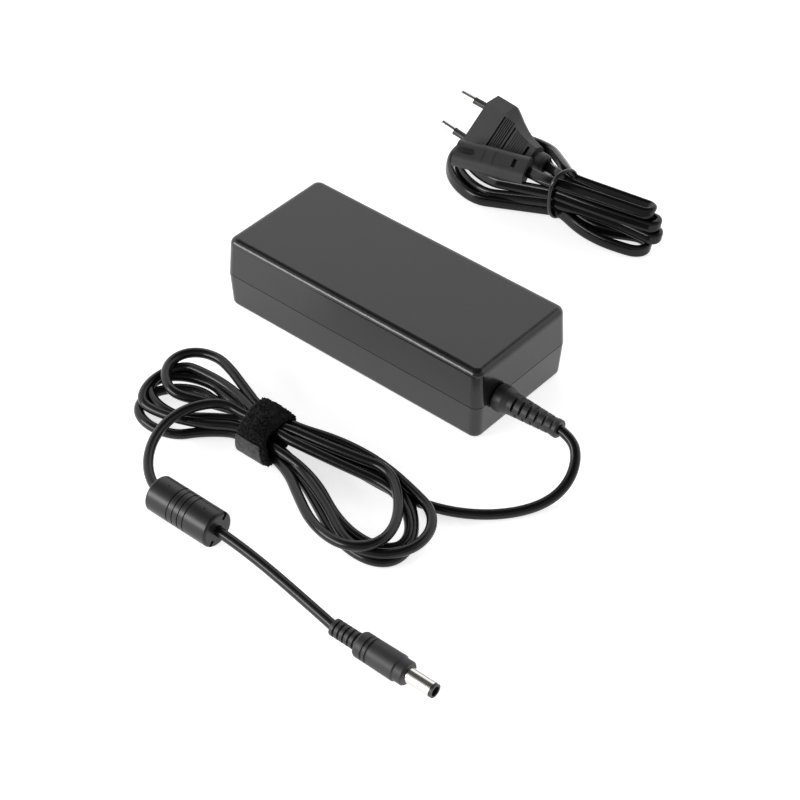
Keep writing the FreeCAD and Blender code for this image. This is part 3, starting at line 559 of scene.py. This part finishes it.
def nurbs_cord(name, points, diameter):
    """One open cord spline with the given control points in millimetres."""
    curve = bpy.data.curves.new(name, "CURVE")
    curve.dimensions = "3D"
    spline = curve.splines.new("NURBS")
    spline.points.add(len(points) - 1)
    for control, point in zip(spline.points, points):
        control.co = (*(Vector(point) * MM), 1.0)
    spline.order_u = 3
    spline.use_endpoint_u = True
    spline.resolution_u = SPLINE_STEPS
    curve.bevel_depth = diameter / 2 * MM
    curve.bevel_resolution = CORD_ROUND_STEPS
    curve.use_fill_caps = True
    return add_object(name, curve)


dc_points = hank_route(
    LEAD_ROUTE, 1, STRAP_LANES, LOBES, STRAP_CENTRE, STRAP_EDGE, TAIL_ROUTE + STRAIGHT_ROUTE,
)
dc_cord = nurbs_cord("dc_cord", dc_points, CORD_DIAMETER)
finish_piece(dc_cord, "cord_rubber", "root")
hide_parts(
    "dc_cord_lead", "dc_cord_hank", "dc_cord_tail", "dc_cord_in_ferrite", "dc_cord_straight",
)


def curve_line(points):
    """Closely spaced points, in metres, read from the spline that the control points make."""
    curve = nurbs_cord("line", points, 0)
    mesh = bpy.data.meshes.new_from_object(curve)
    line = [vertex.co.copy() for vertex in mesh.vertices]
    data = curve.data
    bpy.data.objects.remove(curve)
    bpy.data.curves.remove(data)
    bpy.data.meshes.remove(mesh)
    return line


def oval_section(width, thickness):
    """Flat section with rounded edges, and the shallow groove between its two cores."""
    points = []
    for index in range(FLAT_SECTION_POINTS):
        angle = 2 * math.pi * index / FLAT_SECTION_POINTS
        high = math.copysign(abs(math.sin(angle)) ** EDGE_POWER, math.sin(angle))
        flank = math.copysign(abs(math.cos(angle)) ** FLANK_POWER, math.cos(angle))
        groove = 1 - GROOVE_DEPTH * math.exp(-(high / GROOVE_SPREAD) ** 2)
        points.append((flank * thickness / 2 * groove, high * width / 2))
    return points


def sweep(name, line, section, twists):
    """Tube of the section along the line, turned about it by each point's twist; zero stands on edge."""
    rings = []
    for index, place in enumerate(line):
        before = line[max(index - 1, 0)]
        after = line[min(index + 1, len(line) - 1)]
        tangent = (after - before).normalized()
        side = tangent.cross(Vector((0, 0, 1))).normalized()
        high = side.cross(tangent)
        turn = math.radians(twists[index])
        across = side * math.cos(turn) - high * math.sin(turn)
        upright = high * math.cos(turn) + side * math.sin(turn)
        rings.append([place + (across * a + upright * b) * MM for a, b in section])
    return skin(name, rings, False)


def wire_loop(name):
    """Closed wire about the mains cord's waist, wider along the strands than it is thick."""
    yaw = math.radians(TIE_YAW)
    across = Vector((math.sin(yaw), math.cos(yaw), 0))
    along = across.cross(Vector((0, 0, 1)))
    rings = []
    for step in range(TIE_STEPS):
        angle = 2 * math.pi * step / TIE_STEPS
        place, outward = rounded_outline(angle, TIE_MIDDLE, TIE_HALF, TIE_SQUARENESS)
        centre = Vector((TIE_CENTRE[0], TIE_MIDDLE[0], 0)) + across * (place.x - TIE_MIDDLE[0])
        centre.z = place.y
        out = across * outward.x + Vector((0, 0, outward.y))
        ring = []
        for index in range(TIE_SECTION_POINTS):
            around = 2 * math.pi * index / TIE_SECTION_POINTS
            thick = out * (TIE_THICKNESS / 2 * math.sin(around))
            wide = along * (TIE_WIDTH / 2 * math.cos(around))
            ring.append((centre + (thick + wide)) * MM)
        rings.append(ring)
    return skin(name, rings, True)


def strand_twists(line):
    """Twist at each point of the mains cord: the lean of its folds and the turn towards each end."""
    travelled = [0.0]
    for before, after in zip(line, line[1:]):
        travelled.append(travelled[-1] + (after - before).length / MM)
    twists = []
    for index, distance in enumerate(travelled):
        near_connector = max(0.0, 1 - distance / TWIST_LENGTH)
        near_plug = max(0.0, 1 - (travelled[-1] - distance) / TWIST_LENGTH)
        before = line[max(index - 1, 0)]
        after = line[min(index + 1, len(line) - 1)]
        heading = (after - before).normalized()
        top_share = min(1.0, max(0.0, (line[index].z / MM - TOP_LEAN_FROM) / TOP_LEAN_OVER))
        lean = (FOLD_LEAN + (TOP_LEAN - FOLD_LEAN) * top_share) * heading.x
        twists.append(lean + CONNECTOR_TWIST * near_connector + PLUG_TWIST * near_plug)
    return twists


mains_points = hank_route(MAINS_START, 0, TIE_LANES, MAINS_LOBES, TIE_CENTRE, TIE_EDGE, MAINS_END)
mains_line = curve_line(mains_points)
cord_tie = wire_loop("cord_tie")
finish_piece(cord_tie, "tie_plastic", "mains_lead")
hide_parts("wire_tie")
flat_section = oval_section(FLAT_WIDTH, FLAT_THICKNESS)
mains_cord = sweep("mains_cord", mains_line, flat_section, strand_twists(mains_line))
finish_piece(mains_cord, "mains_cord_rubber", "mains_lead")
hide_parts("mains_cord_hank", "mains_cord_to_plug", "mains_cord_to_connector")


# ---------------------------------------------------------------- camera, floor and light
def make_camera():
    """Camera that looks down at the part from its front right."""
    azimuth = math.radians(CAMERA_AZIMUTH)
    elevation = math.radians(CAMERA_ELEVATION)
    roll = math.radians(CAMERA_ROLL)
    flat = math.cos(elevation)
    right = Vector((math.cos(azimuth), math.sin(azimuth), 0))
    back = Vector((math.sin(azimuth) * flat, -math.cos(azimuth) * flat, math.sin(elevation)))
    up = back.cross(right)
    across = right * math.cos(roll) + up * math.sin(roll)
    upright = up * math.cos(roll) - right * math.sin(roll)
    data = bpy.data.cameras.new("camera")
    data.lens = CAMERA_LENS
    data.sensor_width = SENSOR_WIDTH
    data.clip_start = CLIP_START
    camera = add_object("camera", data)
    turn = Matrix((across, upright, back)).transposed().to_4x4()
    camera.matrix_world = Matrix.Translation(Vector(CAMERA_PLACE) * MM) @ turn
    bpy.context.scene.camera = camera


def make_floor():
    """Pale floor that glows a little, so that it shows as white as the studio."""
    material, _, shader = new_material("pale_floor", (FLOOR_GREY,) * 3, FLOOR_ROUGHNESS)
    shader.inputs["Emission Color"].default_value = (1, 1, 1, 1)
    shader.inputs["Emission Strength"].default_value = FLOOR_GLOW
    corners = [(x * FLOOR_HALF, y * FLOOR_HALF, 0) for x, y in ((-1, -1), (1, -1), (1, 1), (-1, 1))]
    data = bpy.data.meshes.new("floor")
    data.from_pydata(corners, [], [(0, 1, 2, 3)])
    data.materials.append(material)
    return add_object("floor", data)


def smooth_step(tree, factor, start, end, low, high):
    """Eases from low to high while the factor goes from start to end."""
    node = tree.nodes.new("ShaderNodeMapRange")
    node.interpolation_type = "SMOOTHSTEP"
    node.inputs["From Min"].default_value = start
    node.inputs["From Max"].default_value = end
    node.inputs["To Min"].default_value = low
    node.inputs["To Max"].default_value = high
    tree.links.new(factor, node.inputs["Value"])
    return node.outputs["Result"]


def studio_world():
    """White walls, brighter behind the object than behind the camera, under a dark ceiling."""
    world = bpy.data.worlds.new("studio")
    world.use_nodes = True
    tree = world.node_tree
    direction = tree.nodes.new("ShaderNodeTexCoord").outputs["Generated"]
    parts = tree.nodes.new("ShaderNodeSeparateXYZ")
    tree.links.new(direction, parts.inputs["Vector"])
    by_height = smooth_step(tree, parts.outputs["Z"], WALL_TOP, CEILING_START, 1.0, CEILING_SHARE)
    azimuth = math.radians(CAMERA_AZIMUTH)
    facing = tree.nodes.new("ShaderNodeVectorMath")
    facing.operation = "DOT_PRODUCT"
    facing.inputs[1].default_value = (-math.sin(azimuth), math.cos(azimuth), 0)
    tree.links.new(direction, facing.inputs[0])
    cosine = facing.outputs["Value"]
    round_about = smooth_step(tree, cosine, FRONT_WALL_TO, BACK_WALL_FROM, FRONT_WALL, BACK_WALL)
    product = tree.nodes.new("ShaderNodeMath")
    product.operation = "MULTIPLY"
    tree.links.new(by_height, product.inputs[0])
    tree.links.new(round_about, product.inputs[1])
    background = tree.nodes["Background"]
    background.inputs["Color"].default_value = (1, 1, 1, 1)
    tree.links.new(product.outputs["Value"], background.inputs["Strength"])
    bpy.context.scene.world = world


def make_key_light():
    """Broad light to the left of the camera, aimed at the brick."""
    data = bpy.data.lights.new("key", "AREA")
    data.shape = "RECTANGLE"
    data.size, data.size_y = KEY_SIZE
    data.energy = KEY_POWER
    light = add_object("key", data)
    light.location = KEY_PLACE
    light.rotation_mode = "QUATERNION"
    light.rotation_quaternion = (-Vector(KEY_PLACE)).to_track_quat("-Z", "Y")


make_camera()
floor = make_floor()
studio_world()
make_key_light()
bpy.context.scene.view_settings.view_transform = "Standard"
